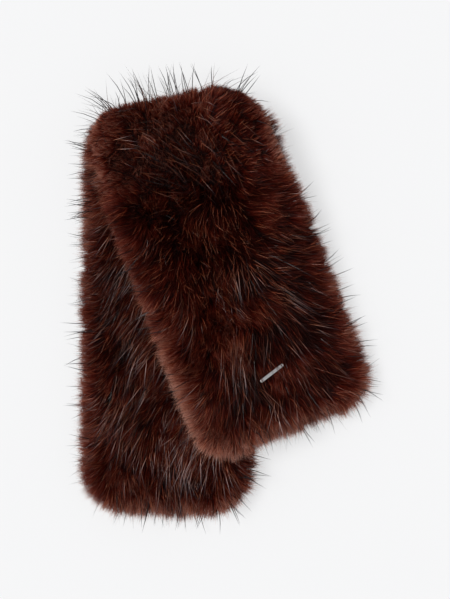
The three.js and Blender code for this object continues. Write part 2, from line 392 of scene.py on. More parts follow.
def panel_grid():
    """Flat positions of the fabric's grid, closer together at its edge, which the lobes draw in."""
    low, high = EDGE_FUR - LOWER_LENGTH, UPPER_LENGTH - EDGE_FUR
    inner = np.linspace(low, high, round((high - low) / STEP_ALONG))
    ends = np.array([0.6, 1.6])
    along = np.concatenate([[low], low + ends, inner[1:-1], high - ends[::-1], [high]])[:, None]
    radius, end = corner_and_end(along)
    radius, end = radius - EDGE_FUR, end - EDGE_FUR
    into = np.clip(radius - end, 0, radius)
    half = straight_half_width(along) - EDGE_FUR - radius + np.sqrt(radius**2 - into**2)
    share = np.linspace(-1, 1, COLUMNS + 1)
    spread = mix(share, np.sin(share * math.pi / 2), 0.65)
    half = half - drawn_in(along, half * np.sign(share))
    near_end = 1 - smooth(end, 0, TUFT_LENGTH)
    side_lobe = LOBE_DEPTH * hollow(along, half * np.sign(share)) * np.abs(spread) ** 3
    end_lobe = LOBE_DEPTH * hollow(LOWER_LENGTH, spread * half) * near_end
    return (
        along - np.sign(along) * end_lobe,
        spread * half - np.sign(share) * side_lobe * (1 - near_end),
    )


def bar_centre():
    """The middle of the metal bar in the frame."""
    low, high = (np.array(corner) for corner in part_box("metal_bar"))
    return (low + high) / 2 / MM


def frame_shift():
    """From the panels' own origin to the frame's, worked out from where the bar lies."""
    at = np.array([BAR_ALONG]), np.array([BAR_ACROSS])
    tips = UPPER_PILE - TUFT_DEPTH * hollow(*at) - parted(*at)[0]
    height = tips - BAR_SUNK + SEAM_GAP + BAR_THICKNESS / 2
    return bar_centre() - (place(*at)[3] + directions(*at)[2] * height)[0]


SHIFT = frame_shift()


def layer(along, across, offset):
    """Points of the surface that lies offset outwards from the backing, shifted to the frame."""
    out = directions(along, across)[2]
    points = place(along, across)[3] + out * np.asarray(offset)[..., None] + SHIFT
    points[..., 2] = np.maximum(points[..., 2], OFF_TABLE)
    return points


def press_bed(points):
    """Flattens the fur under the bar to one plane."""
    bed = bar_centre()[2] - BED_DEPTH
    near = np.linalg.norm(points - bar_centre(), axis=-1)
    share = 1 - smooth(near, BAR_BED * 0.5, BAR_BED + BAR_BED_BLEND)
    points[..., 2] = mix(points[..., 2], np.minimum(points[..., 2], bed), share)
    return points


def quads(index):
    """The faces of a grid of points, given the points' numbers."""
    corners = index[:-1, :-1], index[1:, :-1], index[1:, 1:], index[:-1, 1:]
    return np.stack(corners, -1).reshape(-1, 4)


def shell(name, front, back, turned):
    """A closed shell from two grids of points. turned puts the outside on the other face."""
    rows, columns, _ = front.shape
    index = np.arange(rows * columns).reshape(rows, columns)
    behind = index + rows * columns
    rim = np.concatenate([index[0, :-1], index[:-1, -1], index[-1, :0:-1], index[:0:-1, 0]])
    ahead = np.roll(rim, -1)
    wall = np.stack([rim, ahead, ahead + rows * columns, rim + rows * columns], -1)
    faces = np.concatenate([quads(index), quads(behind.T), wall])
    if turned:
        faces = faces[:, ::-1]
    mesh = bpy.data.meshes.new(name)
    points = np.concatenate([front.reshape(-1, 3), back.reshape(-1, 3)]) * MM
    mesh.from_pydata(points.tolist(), [], faces.tolist())
    mesh.shade_smooth()
    return mesh


# Dense modacrylic underfur on a knitted backing: very dark and rough, with no gloss of its own,
# since it is only seen in the gaps between the tips: its own dark red-brown is painted down to near
# black with the shade that lies in those gaps. The grain is the fibres' own 0.05 mm, drawn as
# coarse as 1.2 mm so that it shows.
UNDERFUR_PAINTED_SHADE_COLOURS = ((0.38, "#0b0302"), (0.66, "#260d08"))  # at a height of the grain, from 0 to 1
GRAIN = 1.2
underfur, tree = new_material("modacrylic_underfur_dense_painted_shade")
spot = add(tree, "ShaderNodeTexCoord").outputs["Object"]
grain = add(
    tree, "ShaderNodeTexNoise", {"Vector": spot, "Scale": 1 / (GRAIN * MM), "Detail": 2.0}
)
colour = add(tree, "ShaderNodeValToRGB", {"Fac": grain.outputs["Fac"]})
for stop, (height, hue) in zip(colour.color_ramp.elements, UNDERFUR_PAINTED_SHADE_COLOURS):
    stop.position, stop.color = height, linear(hue)
relief = {"Height": grain.outputs["Fac"], "Distance": GRAIN * MM, "Strength": 0.8}
normal = add(tree, "ShaderNodeBump", relief).outputs["Normal"]
matt = {"Roughness": 0.95, "Specular IOR Level": 0.15}
surface(tree, {"Base Color": colour.outputs["Color"], **matt, "Normal": normal})

grid = panel_grid()
outer_front = press_bed(layer(*grid, SEAM_GAP / 2 + EDGE_THICKNESS + outer_depth(*grid)))
outer_back = layer(*grid, SEAM_GAP / 2 + 0 * grid[0])
outer_fabric = put(shell("outer_fabric", outer_front, outer_back, False), "outer_fabric", underfur)


# The inner panel's fur fabric
# The fabric that lies inside the fold and shows on top of the lower half. It is cut and sewn as the
# outer panel is.
INNER_PILE, FREE_PILE = 16.4, 20  # inside the fold, and where nothing lies on it
INNER_PRESSED = 1.5  # how far the tips reach past the dense part inside the fold


def inner_combing(along, across):
    """The way the inner panel's fur lies, which shows on top of the lower half."""
    share = across / straight_half_width(along)
    flat_along = -0.78 + 0.12 * ripple(along, across, 40, 3) + 1.4 * smooth(along, -60, -10)
    flat_across = -0.36 * (1 - smooth(-along, 300, 410)) + 0.75 * smooth(share, 0.35, 1)
    flat_across = flat_across - 0.4 * smooth(-share, 0.5, 1)
    return flat_along, flat_across + 0.16 * ripple(along, across, 40, 4)


def clear_of(half, up, right, low=2, high=26):
    """0 where the other half covers a place in the plan and 1 where it is well clear of it."""
    return smooth(-from_rim(*half_at(up, right, half)), low, high)


def inner_depth(along, across):
    """How deep the inner panel's dense underfur stands off the backing."""
    up, right, angle, _ = place(along, across)
    free = np.where(angle > 0, 0, clear_of(1, up, right))
    tips = HAIR_RISE * HAIR * upright(along, across, inner_combing)
    full = mix(INNER_PILE - INNER_PRESSED, FREE_PILE - tips, free) + free * tufts(along, across)
    rounding = ROUNDING - EDGE_FUR
    return np.maximum(full, THINNEST) * rise(from_rim(along, across) - EDGE_FUR, rounding)


inner_front = layer(*grid, -(SEAM_GAP / 2 + EDGE_THICKNESS + inner_depth(*grid)))
inner_back = layer(*grid, -SEAM_GAP / 2 + 0 * grid[0])
inner_fabric = put(shell("inner_fabric", inner_front, inner_back, True), "inner_fabric", underfur)


# The underfur's free tips
# Fine modacrylic fibres, crimped and 17 mm long past the dense part, gathered into tufts and combed
# outwards from the middle. Each strand drawn stands for a few dozen fibres, and the strands are
# grown on the two fabrics.
STRANDS = 1.17e6  # to a square metre
STRAND_RADIUS = 0.28
LOCK, TUFT = 2.6, 17  # the small locks that the tips gather into, and the tufts that they make
# A strand's own width and height in its map, so that none of its faces is a line there
UV_WIDTH, UV_HEIGHT = (0.0012, 0.0004, 0), (0, 0.002, 0.98)
UV_MARGIN = 0.01
SPIN_SEED, SHADE_SEED = 7, 11
OVER_SEAM = 0.15  # how far the hair at a panel's rim leans over the seam
# The pieces that a panel's strands are split into, so that none is too heavy
STRETCHES, INNER_STRETCHES = 4, 2
# How pale the tips are, from 0 to 1: on the whole; how much painted sheen pales them at the rim;
# and how much painted shade darkens them again at a rim that is in shade
OUTER_TONE, INNER_TONE = 0.43, 0.3
RIM_PAINTED_SHEEN, INNER_RIM_PAINTED_SHEEN, RIM_PAINTED_SHADE = 0.4, 0.34, 0.3
# Painted light and shade: where tufts turn to or from the light, their tips are painted paler or
# darker. paler: how much, on the same scale
TUFT_PAINTED_LIGHT = [
    {"along": 150, "across": -12, "length": 72, "width": 62, "paler": -0.36},
    {"along": 215, "across": 50, "length": 60, "width": 26, "paler": -0.34},
    {"along": 193, "across": 32, "length": 18, "width": 18, "paler": -0.2},
    {"along": 252, "across": 47, "length": 14, "width": 14, "paler": -0.2},
    {"along": 264, "across": 20, "length": 20, "width": 34, "paler": -0.42},
    {"along": 226, "across": -20, "length": 20, "width": 12, "paler": 0.2},
    {"along": 205, "across": 12, "length": 9, "width": 22, "paler": 0.2},
    {"along": 290, "across": 8, "length": 12, "width": 24, "paler": 0.28},
    {"along": 310, "across": -14, "length": 12, "width": 16, "paler": -0.22},
    {"along": 282, "across": 72, "length": 18, "width": 18, "paler": 0.12},
    {"along": 313, "across": 46, "length": 18, "width": 22, "paler": -0.42},
    {"along": 286, "across": -46, "length": 40, "width": 16, "paler": -0.28},
    {"along": 290, "across": -88, "length": 80, "width": 15, "paler": 0.3},
    {"along": 282, "across": -88, "length": 22, "width": 14, "paler": 0.26},
    {"along": 353, "across": 0, "length": 12, "width": 95, "paler": 0.34},
    {"along": 338, "across": -66, "length": 20, "width": 26, "paler": 0.4},
    {"along": 44, "across": 56, "length": 46, "width": 36, "paler": -0.34},
    {"along": -385, "across": 14, "length": 26, "width": 30, "paler": -0.24},
    {"along": -225, "across": -58, "length": 50, "width": 22, "paler": -0.18},
    {"along": 140, "across": 82, "length": 22, "width": 14, "paler": 0.18},
    {"along": -408, "across": 0, "length": 12, "width": 100, "paler": 0.3},
]

# One tree grows all of the hair
hair_tree = bpy.data.node_groups.new("hair_on_fabric", "GeometryNodeTree")
SOCKETS = {
    "NodeSocketGeometry": ["Fabric"],
    "NodeSocketFloat": [
        *("Strands", "Shortest", "Longest", "Radius", "Scatter", "Stiffness", "Taper", "Shades"),
        *("Lock", "Lock gather", "Lock scatter", "Lock shades"),
        *("Tuft", "Tuft gather", "Tuft scatter", "Tuft shades"),
    ],
    "NodeSocketInt": ["Rings", "Seed"],
    "NodeSocketVector": ["Lowest", "Highest"],
    "NodeSocketMaterial": ["Finish"],
}
inputs = {
    name: hair_tree.interface.new_socket(name, in_out="INPUT", socket_type=kind).identifier
    for kind, names in SOCKETS.items()
    for name in names
}
hair_tree.interface.new_socket("Hair", in_out="OUTPUT", socket_type="NodeSocketGeometry")


def grow_nodes(tree):
    """Strands on a fabric: three-sided spikes, bent from the way they stand to the way they lie."""

    def vector(operation, *values):
        node = add(tree, "ShaderNodeVectorMath", dict(enumerate(values)), operation=operation)
        return node.outputs["Value" if operation == "DOT_PRODUCT" else "Vector"]

    def scaled(value, by):
        feeds = {0: value, "Scale": by}
        return add(tree, "ShaderNodeVectorMath", feeds, operation="SCALE").outputs[0]

    def number(operation, *values):
        feeds = dict(enumerate(values))
        return add(tree, "ShaderNodeMath", feeds, operation=operation).outputs[0]

    def between(share, low, high):
        feeds = {0: share, 4: low, 5: high}
        return add(tree, "ShaderNodeMix", feeds, data_type="VECTOR").outputs[1]

    def any_turn(seed):
        feeds = {0: (-1, -1, -1), 1: (1, 1, 1), "Seed": seed}
        return add(tree, "FunctionNodeRandomValue", feeds, data_type="FLOAT_VECTOR").outputs[0]

    def any_number(low, high, seed):
        feeds = {2: low, 3: high, "Seed": seed}
        return add(tree, "FunctionNodeRandomValue", feeds, data_type="FLOAT").outputs[1]

    given = add(tree, "NodeGroupInput").outputs
    named = {}
    for name in ("way", "stand", "cover", "reach", "tone", "loose"):
        kind = "FLOAT_VECTOR" if name in ("way", "stand") else "FLOAT"
        read = add(tree, "GeometryNodeInputNamedAttribute", {"Name": name}, data_type=kind)
        named[name] = read.outputs["Attribute"]
    thick = number("MULTIPLY", given["Strands"], named["cover"])
    roots = add(
        tree,
        "GeometryNodeDistributePointsOnFaces",
        {"Mesh": given["Fabric"], "Density": thick, "Seed": given["Seed"]},
    )
    root = add(tree, "GeometryNodeInputPosition").outputs[0]

    # Hairs whose roots share a small cell make a lock, and locks in a large one make a tuft
    cells, own = [], []
    for size in ("Lock", "Tuft"):
        fine = number("DIVIDE", 1.0, given[size])
        cell = add(tree, "ShaderNodeTexVoronoi", {"Vector": root, "Scale": fine}).outputs
        cells.append(cell)
        own.append(vector("MULTIPLY_ADD", cell["Color"], (2, 2, 2), (-1, -1, -1)))

    # Where the tip goes: the combed way, scattered by lock and by hair, and drawn to the middle of
    # its lock and tuft
    stray = scaled(any_turn(given["Seed"]), named["loose"])
    headed = named["way"]
    for turn, scatter in zip((stray, *own), ("Scatter", "Lock scatter", "Tuft scatter")):
        headed = vector("ADD", scaled(turn, given[scatter]), headed)
    heading = vector("NORMALIZE", headed)
    share = any_number(given["Shortest"], given["Longest"], given["Seed"])
    length = number("MULTIPLY", share, named["reach"])
    middle = root
    for cell, gather in zip(cells, ("Lock gather", "Tuft gather")):
        middle = between(given[gather], middle, cell["Position"])
    tip = vector("ADD", middle, scaled(heading, length))
    tip = vector("MAXIMUM", tip, given["Lowest"])
    tip = vector("MINIMUM", tip, given["Highest"])

    # The bend between them
    stiff = number("MULTIPLY", length, given["Stiffness"])
    knee = vector("ADD", root, scaled(named["stand"], stiff))

    # Two directions across the strand, as long as its radius, turned at random about it
    over = vector("NORMALIZE", vector("CROSS_PRODUCT", heading, any_turn(SPIN_SEED)))
    first = scaled(over, given["Radius"])
    second = vector("CROSS_PRODUCT", heading, first)

    # Its shade: the tone given at its place, painted light and shade included, changed by hair, by
    # lock and by tuft
    random = any_number(-1.0, 1.0, SHADE_SEED)
    shade = named["tone"]
    for turn, shades in zip((random, *own), ("Shades", "Lock shades", "Tuft shades")):
        shade = number("MULTIPLY_ADD", turn, given[shades], shade)
    shade = add(tree, "ShaderNodeClamp", {"Value": shade}).outputs[0]

    points = {"Geometry": roots.outputs["Points"]}
    kept = add(tree, "GeometryNodeCaptureAttribute", points, domain="POINT")
    vectors = {"root": root, "knee": knee, "tip": tip, "first": first, "second": second}
    for name, value in {**vectors, "shade": shade}.items():
        kept.capture_items.new("VECTOR" if name in vectors else "FLOAT", name)
        tree.links.new(value, kept.inputs[name])
    held = kept.outputs

    # The spike, which every strand copies: one triangle at the root, one point at the tip
    sizes = {"Vertices": 3, "Radius Top": 0, "Radius Bottom": 1, "Depth": 1}
    spike = add(
        tree,
        "GeometryNodeMeshCone",
        {**sizes, "Side Segments": given["Rings"]},
        fill_type="NGON",
    )
    mesh = {"Geometry": spike.outputs["Mesh"]}
    shape = add(tree, "GeometryNodeCaptureAttribute", mesh, domain="POINT")
    shape.capture_items.new("VECTOR", "spot")
    tree.links.new(add(tree, "GeometryNodeInputPosition").outputs[0], shape.inputs["spot"])
    copies = add(
        tree,
        "GeometryNodeInstanceOnPoints",
        {"Points": held["Geometry"], "Instance": shape.outputs["Geometry"]},
    )
    real = add(tree, "GeometryNodeRealizeInstances", {"Geometry": copies.outputs["Instances"]})

    # Each copy is laid along its own curve, from root to tip
    spot = shape.outputs["spot"]
    across, behind, up = add(tree, "ShaderNodeSeparateXYZ", {0: spot}).outputs
    line = [held["root"], held["knee"], held["tip"]]
    while len(line) > 1:
        line = [between(up, low, high) for low, high in zip(line, line[1:])]
    point = line[0]
    # The cone thins evenly. A power of what is left of the length makes it thin later, near its tip
    left = number("SUBTRACT", 1.001, up)
    fuller = number("POWER", left, number("SUBTRACT", given["Taper"], 1.0))
    for direction, far in (("first", across), ("second", behind)):
        out = number("MULTIPLY", fuller, far)
        point = vector("ADD", point, scaled(held[direction], out))
    point = vector("MAXIMUM", point, (-9, -9, OFF_TABLE * MM))
    laid = add(
        tree,
        "GeometryNodeSetPosition",
        {"Geometry": real.outputs["Geometry"], "Position": point},
    )

    # The piece's own map: the strand's shade across it, and from root to tip up it
    shaded = number("MULTIPLY_ADD", held["shade"], 1 - UV_MARGIN, UV_MARGIN / 2)
    u = number("ADD", shaded, vector("DOT_PRODUCT", spot, UV_WIDTH))
    v = number("ADD", vector("DOT_PRODUCT", spot, UV_HEIGHT), UV_MARGIN)
    uv = add(tree, "ShaderNodeCombineXYZ", {0: u, 1: v})
    mapped = add(
        tree,
        "GeometryNodeStoreNamedAttribute",
        {"Geometry": laid.outputs["Geometry"], "Name": "OFBake", "Value": uv.outputs[0]},
        data_type="FLOAT2",
        domain="CORNER",
    )
    done = add(
        tree,
        "GeometryNodeSetMaterial",
        {"Geometry": mapped.outputs["Geometry"], "Material": given["Finish"]},
    )
    add(tree, "NodeGroupOutput", {"Hair": done.outputs["Geometry"]})


grow_nodes(hair_tree)


def grow(name, carrier, values):
    """Grows hair on a carrier mesh, and keeps the hair as a plain mesh."""
    fabric = put(carrier, name + "_carrier")
    modifier = fabric.modifiers.new("hair", "NODES")
    modifier.node_group = hair_tree
    for key, value in values.items():
        modifier[inputs[key]] = value
    grown = fabric.evaluated_get(bpy.context.evaluated_depsgraph_get())
    mesh = bpy.data.meshes.new_from_object(grown)
    bpy.data.objects.remove(fabric)
    mesh.name = name
    return put(mesh, name)


def carrier_mesh(name, points, fields, rows):
    """The rows of a fabric's face that hair is grown on, with what the hair needs to know there."""
    cut = points[rows]
    count, columns, _ = cut.shape
    faces = quads(np.arange(count * columns).reshape(count, columns))
    mesh = bpy.data.meshes.new(name)
    mesh.from_pydata((cut.reshape(-1, 3) * MM).tolist(), [], faces.tolist())
    for key, field in fields.items():
        part = field[rows]
        kind, target = ("FLOAT_VECTOR", "vector") if part.ndim == 3 else ("FLOAT", "value")
        values = part.astype(np.float32).ravel()
        mesh.attributes.new(key, kind, "POINT").data.foreach_set(target, values)
    return mesh


def spots(table, along, across):
    """Painted light and shade: how much paler than the rest the fur's tips are painted at each
    spot.
    """
    change = 0 * along
    for tuft in table:
        x = (along - tuft["along"]) / tuft["length"]
        y = (across - tuft["across"]) / tuft["width"]
        change = change + tuft["paler"] * np.exp(-x * x - y * y)
    return change


def stand_and_way(points, combing, side, flatter=1.0):
    """The face's normal, and the way its hair lies, which at the seam meets the other panel's."""
    along, across = grid
    ahead, aside, backing = directions(along, across)
    normal = side * unit(np.cross(np.gradient(points, axis=0), np.gradient(points, axis=1)))
    flat_along, flat_across = lie_of_fur(along, across, combing)
    lie = (flat_along[..., None] * ahead + flat_across[..., None] * aside) * flatter
    up = np.sqrt(np.maximum(0.1, 1 - np.sum(lie * lie, -1, keepdims=True)))
    out_along, out_across = towards_rim(along, across)
    outwards = out_along[..., None] * ahead + out_across[..., None] * aside
    outwards = outwards - OVER_SEAM * side * backing
    at_seam = 1 - smooth(from_rim(along, across) - EDGE_FUR, 1, 10)
    return normal, unit(mix(unit(lie + up * normal), unit(outwards), at_seam[..., None]))


along, across = grid
up, right, angle, _ = place(along, across)
inside = from_rim(along, across) - EDGE_FUR
turned = angle / math.pi
near_bar = np.hypot(along - BAR_ALONG, across - BAR_ACROSS)
at_fold = smooth(turned, 0.15, 0.4) * (1 - smooth(turned, 0.75, 1))
closer_at_rim = 1 + 0.5 * (1 - smooth(inside, 0, 10))
tuft_painted_light = spots(TUFT_PAINTED_LIGHT, along, across)
short = plush(along, across)

# On the fold the fur opens, so that its whole length shows, but at its corners it is short
fold_reach = 1 + at_fold * (0.22 * smooth(inside, 8, 24) - 0.15 * (1 - smooth(inside, 0, 22)))
fold_reach = fold_reach * (1 - PLUSH_SHORTER * short)
bar_reach = 1 - 0.45 * (1 - smooth(near_bar, 8, 26))

# Painted sheen pales the rim's tips, where the rim catches the light, but painted shade darkens
# them on the left side of the upper half near the fold
rim_band = 1 - smooth(inside, 0, 20 + 9 * ripple(along, across, 22, 30))
rim_painted_shade_mask = smooth(-across, 30, 60) * smooth(along, -50, -10) * (1 - smooth(along, 130, 260))
outer_rim_tone = rim_band * (RIM_PAINTED_SHEEN - RIM_PAINTED_SHADE * rim_painted_shade_mask)
# Random tone, with painted shade in the hollows between the large tufts, and the short plush round
# the fold painted paler
relief = 0.16 * ripple(along, across, 20, 8) - 0.22 * hollow(along, across)
outer_ripple_and_painted_shading = 0.2 * short + relief * (1 - 0.6 * short)

# The outer face has free tips all over, but on the table only at its rims
outer_stand, outer_way = stand_and_way(outer_front, outer_combing, 1)
outer_cover = mix(1 - smooth(inside, 4, 22), 1, smooth(turned, 0.0, 0.12))
outer_fields = {
    "stand": outer_stand,
    "way": outer_way,
    "cover": outer_cover * closer_at_rim,
    "reach": HAIR * MM * bar_reach * fold_reach,
    "loose": 1 + 0 * along,
    "tone": OUTER_TONE + outer_rim_tone + tuft_painted_light + outer_ripple_and_painted_shading,
}

# The inner face has them where it shows on the lower half, a few at the upper half's edge, and at
# its rims
inner_stand, inner_way = stand_and_way(inner_front, inner_combing, -1)
on_lower = np.where(angle == 0, clear_of(1, up, right, -24, -5), 0)
under_upper = np.where(angle >= math.pi, clear_of(-1, up, right, -4, 10) * 0.35, 0)
in_fold = (turned > 0.02) & (turned < 0.98)
inner_rim = np.where(in_fold, 1 - smooth(inside, 12, 36), 0.9 * (1 - smooth(inside, 4, 18)))
inner_cover = np.maximum(on_lower, np.maximum(under_upper, inner_rim))
inner_tone = INNER_TONE + 0.18 * ripple(along, across, 20, 9)
# Painted sheen pales the tips at the rim
inner_tone = inner_tone + INNER_RIM_PAINTED_SHEEN * (1 - smooth(inside, 0, 20))
inner_fields = {
    "stand": inner_stand,
    "way": inner_way,
    "cover": inner_cover * closer_at_rim,
    "reach": HAIR * MM * (1 + 0 * along),
    "loose": 1 + 0 * along,
    "tone": inner_tone + tuft_painted_light,
}

# The fur's tips stay this close to the solids' box: a little inside 3% of each side and 10 mm
ROOM = 0.96 * (0.03 * (np.array(cad_high) - np.array(cad_low)) + 10 * MM)
LOWEST = (*(np.array(cad_low) - ROOM)[:2], 0.3 * MM)
HIGHEST = tuple(np.array(cad_high) + ROOM)

# Modacrylic fibre: soft and barely glossy. It is dark and red at the root, darkened there with
# painted shade, and dusty brown at the tip, where it is lit: the palest tips are painted sheen.
STRAND_COLOURS = (
    # how far up the strand, on the darkest strands, on middling ones and on the palest
    (0.0, "#0c0201", "#120201", "#1c0503"),
    (0.4, "#140201", "#3c0904", "#662012"),
    (0.75, "#1e0402", "#641d0f", "#a46854"),
    (1.0, "#260805", "#823e2d", "#dcb09e"),
)


def hair_material(name, colours, roughness, specular):
    """Colour from the strand's own map: its shade across, and from root to tip up."""
    material, tree = new_material(name)
    uv = add(tree, "ShaderNodeUVMap", uv_map="OFBake").outputs["UV"]
    shade, up, _ = add(tree, "ShaderNodeSeparateXYZ", {0: uv}).outputs
    ramps = []
    for pick in (1, 2, 3):
        ramp = add(tree, "ShaderNodeValToRGB", {"Fac": up})
        stops = ramp.color_ramp.elements
        for i, row in enumerate(colours):
            stop = stops[i] if i < 2 else stops.new(row[0])
            stop.position, stop.color = row[0], linear(row[pick])
        ramps.append(ramp.outputs["Color"])
    colour = ramps[0]
    for ramp, start in zip(ramps[1:], (0, -1)):
        doubled = {0: shade, 1: 2.0, 2: start}
        fade = add(
            tree, "ShaderNodeMath", doubled, operation="MULTIPLY_ADD", use_clamp=True
        ).outputs[0]
        mixed = add(tree, "ShaderNodeMix", {0: fade, 6: colour, 7: ramp}, data_type="RGBA")
        colour = mixed.outputs[2]
    gloss = {"Roughness": roughness, "Specular IOR Level": specular}
    surface(tree, {"Base Color": colour, **gloss})
    return material


strand_finish = hair_material("modacrylic_fibre_soft", STRAND_COLOURS, roughness=0.5, specular=0.06)
strand_values = {
    "Strands": STRANDS,
    "Shortest": 0.7,
    "Longest": 1.15,
    "Radius": STRAND_RADIUS * MM,
    "Rings": 1,
    "Scatter": 0.16,
    "Lock": LOCK * MM,
    "Lock gather": 0.5,
    "Lock scatter": 0.2,
    "Lock shades": 0.26,
    "Tuft": TUFT * MM,
    "Tuft gather": 0.2,
    "Tuft scatter": 0.28,
    "Tuft shades": 0.26,
    "Stiffness": 0.5,
    "Taper": 1,
    "Shades": 0.28,
    "Lowest": LOWEST,
    "Highest": HIGHEST,
    "Finish": strand_finish,
}


def hair_pieces(name, points, fields, values, stretches, seed):
    """One panel's hair, in pieces from end to end that hold about as many strands each."""
    cover = fields["cover"]
    share = np.cumsum(cover.mean(1))
    cuts = np.searchsorted(share, share[-1] * np.arange(1, stretches) / stretches)
    edges = [0, *cuts, len(cover) - 1]
    grown = []
    for i in range(stretches):
        part = f"{name}_{i + 1}"
        mesh = carrier_mesh(part, points, fields, slice(edges[i], edges[i + 1] + 1))
        grown.append(grow(part, mesh, {**values, "Seed": seed + i}))
    return grown


outer_hair = hair_pieces(
    "outer_underfur", outer_front, outer_fields, strand_values, STRETCHES, seed=20
)
inner_hair = hair_pieces(
    "inner_underfur", inner_front, inner_fields, strand_values, INNER_STRETCHES, seed=40
)


# The awn hairs
# Coarser, longer fibres among the underfur, each bent over at its tip. They are satin, and lie in
# streaks, from dark to a dusty pinkish brown where the light catches them: that pale brown is
# painted glint.
AWNS = 0.045e6  # to a square metre
AWN_RADIUS = 0.28
AWN_LENGTH = 1.4  # to the underfur's
# Their painted glints: how pale they are painted where the underfur is darkened with painted shade
AWN_GLINT_TONE = 0.56  # how pale they are where the underfur is dark
AWN_COLOURS = (
    (0.0, "#120302", "#180402", "#200603"),
    (0.45, "#2a0702", "#6a210f", "#98401f"),
    (0.8, "#34100a", "#8a4226", "#c07a5a"),
    (1.0, "#40180f", "#8a5240", "#d0a08c"),
)
awn_finish = hair_material("modacrylic_awn_hair_satin", AWN_COLOURS, roughness=0.3, specular=0.3)
awn_values = {
    **strand_values,
    "Strands": AWNS,
    "Shortest": 0.75 * AWN_LENGTH,
    "Longest": 1.1 * AWN_LENGTH,
    "Radius": AWN_RADIUS * MM,
    "Rings": 2,
    "Scatter": 0.2,
    "Lock gather": 0.35,
    "Lock scatter": 0.26,
    "Lock shades": 0.3,
    "Stiffness": 0.25,
    "Taper": 0.7,
    "Shades": 0.5,
    "Finish": awn_finish,
}


def awn_fields(fields, combing):
    """Where the fur is dark or stands, awns cross each other, and more show as painted glints."""
    stands = smooth(upright(along, across, combing), 0.45, 0.85)
    dark = np.maximum(smooth(-tuft_painted_light, 0.04, 0.22), 0.7 * stands)
    right_side = smooth(across, 25, 45) * smooth(along, 150, 190)
    silky = 0.8 * np.maximum(smooth(along, 220, 250), right_side)
    return {
        **fields,
        "loose": 1 + 0.5 * dark,
        "tone": mix(fields["tone"], AWN_GLINT_TONE, dark * (1 - silky)),
    }


outer_awns = awn_fields(outer_fields, outer_combing)
inner_awns = awn_fields(inner_fields, inner_combing)
outer_hair += hair_pieces("outer_awn_hairs", outer_front, outer_awns, awn_values, 2, seed=50)
inner_hair += hair_pieces("inner_awn_hairs", inner_front, inner_awns, awn_values, 1, seed=55)


# The guard hairs
# Longer, coarser, glossier fibres that stand through the underfur: orange-brown below, and slate to
# black at their tips, which catch the light; their pale slate and grey stretches are painted
# glints.
# Real ones are 0.1 mm thick, and they are drawn about 0.7 mm thick so that they show.
GUARDS = 60000  # to a square metre
GUARD_LENGTH, GUARD_RIM_LENGTH = 50, 27
GUARD_RADIUS = 0.34
GUARD_LIE = 1.15  # how much flatter they lie than the underfur
GUARD_RISE, FOLD_GUARD_RISE = 13, 22  # how far above the dense part they stand, and by the fold
# How pale they are, which sets their painted glints: on the outer panel, on the inner one, and how
# much less by the fold
GUARD_TONE, INNER_GUARD_TONE, FOLD_DARKER = 0.14, 0.22, 0.05
GUARD_COLOURS_AND_GLINTS = (
    (0.0, "#0c0302", "#2a0c05", "#5a1e0c"),
    (0.35, "#0e0504", "#6c3820", "#b8765a"),
    (0.6, "#0a0707", "#744a3c", "#c0a6a0"),
    (0.82, "#060506", "#2c2226", "#62585e"),
    (1.0, "#040304", "#08080a", "#0e0e12"),
)
guard_finish = hair_material(
    "modacrylic_guard_hair_glossy", GUARD_COLOURS_AND_GLINTS, roughness=0.3, specular=0.15
)
guard_values = {
    "Strands": GUARDS,
    "Shortest": 0.6,
    "Longest": 1.15,
    "Radius": GUARD_RADIUS * MM,
    "Rings": 3,
    "Scatter": 0.22,
    "Lock": 10 * MM,
    "Lock gather": 0.4,
    "Lock scatter": 0.2,
    "Lock shades": 0.2,
    "Tuft": 30 * MM,
    "Tuft gather": 0.0,
    "Tuft scatter": 0.1,
    "Tuft shades": 0.1,
    "Stiffness": 0.22,
    "Taper": 0.45,
    "Shades": 0.5,
    "Lowest": LOWEST,
    "Highest": HIGHEST,
    "Finish": guard_finish,
}
# Where they are closer together and painted paler, with painted glints
GLINT_STREAKS = [
    {"along": 218, "across": -20, "length": 24, "width": 9, "paler": 1.1},
    {"along": 264, "across": -30, "length": 24, "width": 12, "paler": 0.3},
    {"along": 129, "across": 80, "length": 22, "width": 16, "paler": 0.6},
    {"along": 325, "across": -10, "length": 26, "width": 10, "paler": 0.4},
    {"along": -345, "across": 34, "length": 50, "width": 38, "paler": 0.5},
    {"along": -195, "across": -42, "length": 60, "width": 20, "paler": 0.25},
]


def by_fold(along, across):
    """1 on the upper half near the fold, where the underfur stands, and 0 elsewhere."""
    past = past_fold(along, across)
    return smooth(past, -4, 14) * (1 - smooth(past, 70, 140))


def guard_combing(along, across):
    """The way the outer panel's guard hairs lie: by the fold, across the fur to the lower right."""
    flat_along, flat_across = outer_combing(along, across)
    near_fold = by_fold(along, across)
    left = smooth(-across, -10, 80)
    return (
        mix(flat_along, 0.75 - 0.35 * left, near_fold),
        mix(flat_across, 0.25 + 0.45 * left, near_fold),
    )


